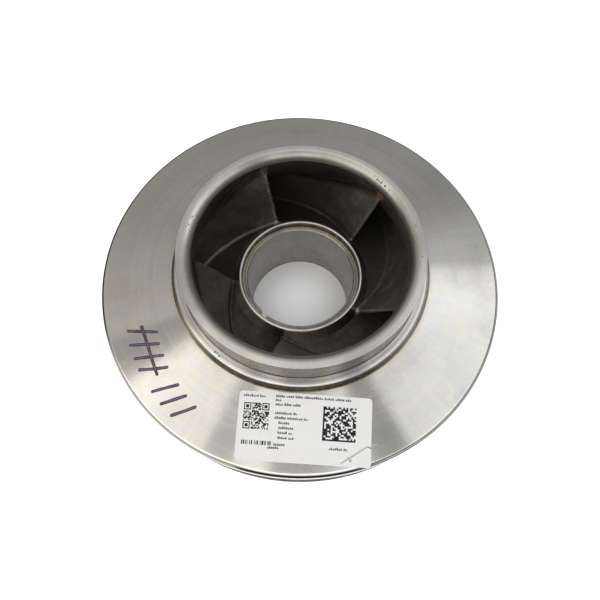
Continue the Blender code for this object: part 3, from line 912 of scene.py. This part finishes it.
class IMPELLER_OT_label_print(ImpellerPiece, bpy.types.Operator):
    """Generic print on the label: random blocks, bars and rows of marks that spell nothing"""
    bl_idname = "impeller.label_print"
    bl_label = "Label print"

    # Rows of small marks: (left, middle height, right), in millimetres on the label
    ROWS = ((3.4, 47.6, 19.5), (28.0, 48.2, 84.5), (28.0, 45.2, 32.0), (28.0, 42.0, 46.0), (28.0, 35.6, 43.8),
            (28.0, 32.0, 52.0), (31.0, 28.4, 40.0), (31.2, 24.8, 42.0), (31.0, 21.2, 41.0), (31.0, 17.6, 43.2),
            (28.4, 12.6, 36.5), (24.0, 10.2, 32.4), (69.8, 12.0, 82.6))
    # Square blocks of random cells: (left, bottom, side, cells, cells of its corner squares, edged)
    BLOCKS = ((4.2, 22.8, 19.4, 25, 7, False), (64.4, 17.4, 25.2, 20, 0, True))
    BARS = (4.2, 11.6, 27.0, 14.6)

    def filled(self, draw, i, j, count, square, edged):
        """Whether a block's cell is black: framed squares in three corners, solid edges, else by chance."""
        chance = draw.random() < 0.54
        for x, y in ((i, j), (i, count - 1 - j), (count - 1 - i, count - 1 - j)):
            if x <= square and y <= square and square:
                ring = max(abs(x - square // 2), abs(y - square // 2))
                return ring in (0, 1, square // 2)
        return i == 0 or j == 0 or chance if edged else chance

    def cells(self):
        """Filled boxes as (left, bottom, right, top)."""
        draw = random.Random(7)
        for left, bottom, side, count, square, edged in self.BLOCKS:
            cell = side / count
            for j in range(count):
                for i in range(count):
                    if self.filled(draw, i, j, count, square, edged):
                        yield (left + i * cell, bottom + j * cell, left + (i + 1) * cell, bottom + (j + 1) * cell)
        left, bottom, right, top = self.BARS
        while left < right:
            width = draw.choice((0.5, 0.6, 1.0, 1.5))
            yield (left, bottom, left + width, top)
            left += width + draw.choice((0.35, 0.45, 0.7, 1.3))
        for left, middle, right in self.ROWS:
            letters = 0
            while left < right:
                foot, tall = middle - 1.0, draw.choice((1.5, 1.5, 2.1))
                for k in range(2):
                    yield (left + 0.6 * k, foot, left + 0.6 * k + 0.5, foot + tall * draw.choice((0.65, 1.0)))
                level = foot + draw.choice((0.0, 0.6, 1.1))
                yield (left, level, left + 1.1, level + 0.46)
                left += 1.45
                letters += 1
                if letters > 3 and draw.random() < 0.25:
                    left += 0.9
                    letters = 0

    def make(self, sizes):
        bm = bmesh.new()
        for left, bottom, right, top in self.cells():
            made = bmesh.ops.create_cube(bm, size=1.0)["verts"]
            for v in made:
                lift = sizes.label_thickness + (0.02 * MM if v.co.z > 0 else -0.06 * MM)
                v.co = label_place(right if v.co.x > 0 else left, top if v.co.y > 0 else bottom, lift, sizes)
        add_piece("label_print_marks", bm, [finish("label_print")], [], smooth=False)


class IMPELLER_OT_marker_strokes(ImpellerPiece, bpy.types.Operator):
    """Inspector's tally strokes in marker ink on the turned face"""
    bl_idname = "impeller.marker_strokes"
    bl_label = "Marker strokes"

    # Strokes as ((x, y) of one end, (x, y) of the other), in millimetres
    STROKES = (((-140.0, -61.0), (-113.0, -62.5)), ((-136.5, -73.0), (-110.5, -72.0)),
               ((-131.0, -83.5), (-106.0, -81.5)), ((-126.0, -93.0), (-101.5, -90.5)),
               ((-128.0, -56.5), (-109.5, -97.5)), ((-113.5, -110.0), (-91.5, -104.0)),
               ((-105.5, -119.5), (-84.5, -112.5)), ((-96.5, -128.0), (-76.5, -120.5)))

    def make(self, sizes):
        columns, rows = 60, 10
        bm = bmesh.new()
        for number, (start, end) in enumerate(self.STROKES):
            start, end = Vector(start) * MM, Vector(end) * MM
            along = (end - start).normalized()
            aside = Vector((-along.y, along.x))
            length = (end - start).length
            half = sizes.marker_width / 2

            def place(column, row, side):
                travel = length * 0.5 * (1 - math.cos(math.pi * column / columns))
                near_end = min(travel, length - travel)
                width = half * math.sqrt(max(0.02, 1 - max(0.0, 1 - near_end / half) ** 2))
                width *= 1.0 + 0.16 * noise.noise(Vector((travel * 260, number * 9.1, 0.4)))
                bend = 0.9 * MM * noise.noise(Vector((travel * 34, number * 5.3, 2.0)))
                plan = start + along * travel + aside * (bend + width * (2 * row / rows - 1))
                lift = 0.03 * MM + number * 0.004 * MM if side > 0 else -0.08 * MM
                return face_point(plan.x, plan.y, lift)

            stroke = two_sided_grid(columns, rows, place)
            mesh = bpy.data.meshes.new("stroke")
            stroke.to_mesh(mesh)
            stroke.free()
            bm.from_mesh(mesh)
            bpy.data.meshes.remove(mesh)
        add_piece("marker_strokes", bm, [finish("marker_ink")], [])


# Stage

class IMPELLER_OT_stage(ImpellerPiece, bpy.types.Operator):
    """Pale floor, soft light tent and the camera"""
    bl_idname = "impeller.stage"
    bl_label = "Stage"

    # Camera axes in the part's frame: right, up and the way it looks
    RIGHT, UP, LOOK = (0.9996, 0.0267, 0.0117), (-0.0291, 0.9208, 0.3888), (0.0004, 0.3890, -0.9212)
    # The tent's panels meet at this direction (x, y) over the part
    MEETING = (0.0, 0.43)
    # Radiance of the panels round that direction, by angle in degrees; two near angles are a seam
    INNER_PANELS = ((0.0, 0.76), (12.0, 0.66), (40.0, 0.60), (62.0, 0.54), (118.0, 0.54), (150.0, 0.64), (200.0, 0.72),
                    (210.0, 0.80), (217.0, 1.30), (228.0, 1.60), (254.0, 1.50), (261.0, 0.95), (268.0, 0.95),
                    (274.0, 1.55), (287.0, 1.30), (297.0, 0.80), (304.0, 0.60), (314.0, 0.50), (326.0, 0.62),
                    (338.0, 0.82), (350.0, 0.88), (360.0, 0.76))
    LEFT_PANELS = ((0.6, 1.50), (1.6, 0.90), (4.0, 0.74), (9.0, 0.73), (15.0, 0.62), (22.0, 0.48), (32.0, 0.40),
                   (110.0, 0.37), (165.0, 0.41), (180.0, 0.51), (192.0, 0.60), (203.0, 0.70), (204.0, 0.46))
    NEAR_PANELS = ((204.0, 0.46), (210.0, 0.52), (214.5, 0.75), (217.0, 1.80), (222.0, 1.70), (229.0, 1.42),
                   (243.0, 1.32), (244.2, 0.64), (252.0, 0.62), (253.6, 1.42), (262.4, 1.40), (263.2, 0.46),
                   (277.0, 0.48), (281.0, 0.85), (284.0, 1.00), (286.0, 1.30), (290.8, 1.30), (291.6, 0.56),
                   (296.0, 0.46), (302.6, 0.38), (303.2, 1.10), (312.0, 1.25), (322.0, 1.28), (333.0, 1.36),
                   (350.0, 1.60), (360.0, 1.40))
    OUTER_PANELS = ((0.0, 0.90), (8.0, 0.75), (20.0, 0.60), (60.0, 0.55), (160.0, 0.58), (205.0, 0.66), (216.0, 2.00),
                    (288.0, 2.00), (292.0, 1.00), (302.0, 0.90), (304.0, 1.70), (330.0, 1.80), (352.0, 1.70), (360.0, 0.90))
    PARTING, LAST_ANGLE = 204.0, 360.6
    BRIGHTEST = 2.0
    STEEP_SHARE = 0.45          # of the near panels' radiance, what is left low down

    def floor(self, scene):
        studio = scene.impeller_studio
        bm = bmesh.new()
        bmesh.ops.create_circle(bm, cap_ends=True, segments=192, radius=studio.floor_radius)
        bmesh.ops.translate(bm, vec=(0, 0, -0.0002), verts=bm.verts)
        mesh = bpy.data.meshes.new("studio_floor")
        bm.to_mesh(mesh)
        bm.free()
        floor = bpy.data.objects.new("studio_floor", mesh)
        scene.collection.objects.link(floor)
        material = bpy.data.materials.new("studio_floor")
        material.use_nodes = True
        tree = material.node_tree
        shader = tree.nodes["Principled BSDF"]
        shader.inputs["Base Color"].default_value = rgba(scene.impeller_colours.floor)
        shader.inputs["Roughness"].default_value = 0.8
        shader.inputs["Emission Color"].default_value = (0.93, 0.98, 1.06, 1.0)
        radius = turning_coordinates(tree, tree.nodes.new("ShaderNodeTexCoord").outputs["Object"])[0]
        # The table glows evenly round the object; under the bore a painted pool of light adds glow towards the axis
        glow_and_light_pool = maths(tree, "ADD", remap(tree, radius, 0.2 * BORE_R, BORE_R, studio.bore_light_pool, 0.0),
                     remap(tree, radius, BORE_R + 10 * MM, OUTER_R - 20 * MM, 0.04, studio.glow_edge))
        tree.links.new(glow_and_light_pool, shader.inputs["Emission Strength"])
        clear = tree.nodes.new("ShaderNodeBsdfTransparent")
        facing = tree.nodes.new("ShaderNodeNewGeometry").outputs["Backfacing"]
        both = add_node(tree, "ShaderNodeMixShader", {0: facing, 1: shader.outputs[0], 2: clear.outputs[0]})
        tree.links.new(both.outputs[0], tree.nodes["Material Output"].inputs["Surface"])
        mesh.materials.append(material)

    def panels(self, tree, turn, first, last, levels):
        """Radiance by angle from one stretch of panels, as a share of the brightest."""
        ramp = add_node(tree, "ShaderNodeValToRGB", {0: remap(tree, turn, first, last, kind="LINEAR")})
        stops = ramp.color_ramp.elements
        for index, (degrees, level) in enumerate(levels):
            stop = stops[index] if index < 2 else stops.new(1.0)
            stop.position = (degrees - first) / (last - first)
            stop.color = (level / self.BRIGHTEST,) * 3 + (1.0,)
        return ramp.outputs["Color"]

    def blend(self, tree, amount, a, b):
        return add_node(tree, "ShaderNodeMix", {0: amount, 2: a, 3: b}).outputs[0]

    def tent(self, scene):
        studio = scene.impeller_studio
        world = bpy.data.worlds.new("light_tent")
        scene.world = world
        world.use_nodes = True
        tree = world.node_tree
        tree.nodes.clear()
        way = tree.nodes.new("ShaderNodeTexCoord").outputs["Generated"]
        x, y, z = add_node(tree, "ShaderNodeSeparateXYZ", {0: way}).outputs
        angle = maths(tree, "ARCTAN2", maths(tree, "SUBTRACT", y, self.MEETING[1]),
                      maths(tree, "SUBTRACT", x, self.MEETING[0]))
        turn = maths(tree, "MULTIPLY", maths(tree, "FRACT", maths(tree, "DIVIDE", angle, 2 * math.pi)), 360.0)
        left = self.panels(tree, turn, 0.0, self.PARTING, self.LEFT_PANELS)
        near = self.panels(tree, turn, self.PARTING, self.LAST_ANGLE, self.NEAR_PANELS)
        inner = self.panels(tree, turn, 0.0, 360.0, self.INNER_PANELS)
        outer = self.panels(tree, turn, 0.0, 360.0, self.OUTER_PANELS)
        away = add_node(tree, "ShaderNodeCombineXYZ", {"X": maths(tree, "SUBTRACT", x, self.MEETING[0]),
                                                       "Y": maths(tree, "SUBTRACT", y, self.MEETING[1])}).outputs[0]
        away = add_node(tree, "ShaderNodeVectorMath", {0: away}, operation="LENGTH").outputs["Value"]
        middle = self.blend(tree, maths(tree, "GREATER_THAN", turn, self.PARTING), left, near)
        level = self.blend(tree, remap(tree, away, 0.31, 0.37), inner, middle)
        level = self.blend(tree, remap(tree, away, 0.88, 0.96), level, outer)
        steep = remap(tree, z, 0.50, 0.66, self.STEEP_SHARE, 1.0)
        ahead = maths(tree, "MULTIPLY", remap(tree, y, 0.0, -0.3), soft_band(tree, x, -0.5, 0.5, 0.12))
        steep = self.blend(tree, ahead, 1.0, steep)
        radiance = maths(tree, "MULTIPLY", maths(tree, "MULTIPLY", level, steep), studio.tent * self.BRIGHTEST)
        aside = add_node(tree, "ShaderNodeCombineXYZ", {"X": x, "Y": y}).outputs[0]
        aside = add_node(tree, "ShaderNodeVectorMath", {0: aside}, operation="NORMALIZE").outputs[0]
        side_x, side_y, _ = add_node(tree, "ShaderNodeSeparateXYZ", {0: aside}).outputs
        on_right = remap(tree, side_x, 0.35, 0.60)
        gap = maths(tree, "MULTIPLY", on_right, soft_band(tree, z, 0.10, 0.50, 0.03))
        radiance = maths(tree, "MULTIPLY", radiance, maths(tree, "SUBTRACT", 1.0, maths(tree, "MULTIPLY", gap, 0.85)))
        wall = maths(tree, "MULTIPLY", on_right, soft_band(tree, z, -0.23, 0.09, 0.03))
        low = self.blend(tree, wall, studio.low, studio.low_right)
        tan_wall = maths(tree, "MULTIPLY", remap(tree, side_x, -0.36, -0.40), remap(tree, side_y, 0.15, -0.15))
        tan_wall = maths(tree, "MULTIPLY", tan_wall, soft_band(tree, z, -0.85, 0.12, 0.03))
        low = self.blend(tree, tan_wall, low, studio.low_left)
        lit = self.blend(tree, remap(tree, z, 0.28, 0.36), low, radiance)
        seen = tree.nodes.new("ShaderNodeLightPath").outputs["Is Camera Ray"]
        strength = self.blend(tree, seen, lit, 1.0)
        tint = blend_colours(tree, remap(tree, x, -0.6, 0.5, kind="LINEAR"), (1.0, 0.965, 0.90, 1.0), (0.99, 1.0, 1.005, 1.0))
        tint = blend_colours(tree, seen, tint, (1.0, 1.0, 1.0, 1.0))
        back = add_node(tree, "ShaderNodeBackground", {"Color": tint, "Strength": strength})
        output = tree.nodes.new("ShaderNodeOutputWorld")
        tree.links.new(back.outputs[0], output.inputs["Surface"])

    def camera(self, scene):
        data = bpy.data.cameras.new("camera")
        data.sensor_width = 36.0
        data.lens = scene.impeller_studio.lens
        data.clip_start, data.clip_end = 0.01, 50.0
        camera = bpy.data.objects.new("camera", data)
        scene.collection.objects.link(camera)
        axes = Matrix((self.RIGHT, self.UP, [-c for c in self.LOOK])).transposed()
        camera.matrix_world = Matrix.Translation(scene.impeller_studio.camera) @ axes.to_4x4()
        scene.camera = camera

    def make(self, sizes):
        scene = bpy.context.scene
        self.floor(scene)
        self.tent(scene)
        self.camera(scene)
        scene.view_settings.view_transform = "Standard"


OPERATORS = (IMPELLER_OT_front_shroud, IMPELLER_OT_eye_ring, IMPELLER_OT_hub, IMPELLER_OT_rear_boss,
             IMPELLER_OT_back_shroud, IMPELLER_OT_vanes, IMPELLER_OT_label, IMPELLER_OT_label_print,
             IMPELLER_OT_marker_strokes, IMPELLER_OT_stage)
SETTINGS = {"impeller_sizes": ImpellerSizes, "impeller_colours": ImpellerColours, "impeller_studio": ImpellerStudio}


class IMPELLER_PT_pieces(bpy.types.Panel):
    """Lists the impeller's pieces and settings"""
    bl_label = "Impeller"
    bl_idname = "IMPELLER_PT_pieces"
    bl_space_type = "VIEW_3D"
    bl_region_type = "UI"
    bl_category = "Impeller"

    def draw(self, context):
        column = self.layout.column(align=True)
        for operator in OPERATORS:
            column.operator(operator.bl_idname)
        for name, group in SETTINGS.items():
            box = self.layout.box()
            for key in group.__annotations__:
                box.prop(getattr(context.scene, name), key)


def register():
    for cls in (*SETTINGS.values(), *OPERATORS, IMPELLER_PT_pieces):
        bpy.utils.register_class(cls)
    for name, group in SETTINGS.items():
        setattr(bpy.types.Scene, name, PointerProperty(type=group))


def unregister():
    for name in SETTINGS:
        delattr(bpy.types.Scene, name)
    for cls in reversed((*SETTINGS.values(), *OPERATORS, IMPELLER_PT_pieces)):
        bpy.utils.unregister_class(cls)


def main():
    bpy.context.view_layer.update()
    register()
    for operator in OPERATORS:
        group, name = operator.bl_idname.split(".")
        getattr(getattr(bpy.ops, group), name)()


if __name__ == "__main__":
    main()
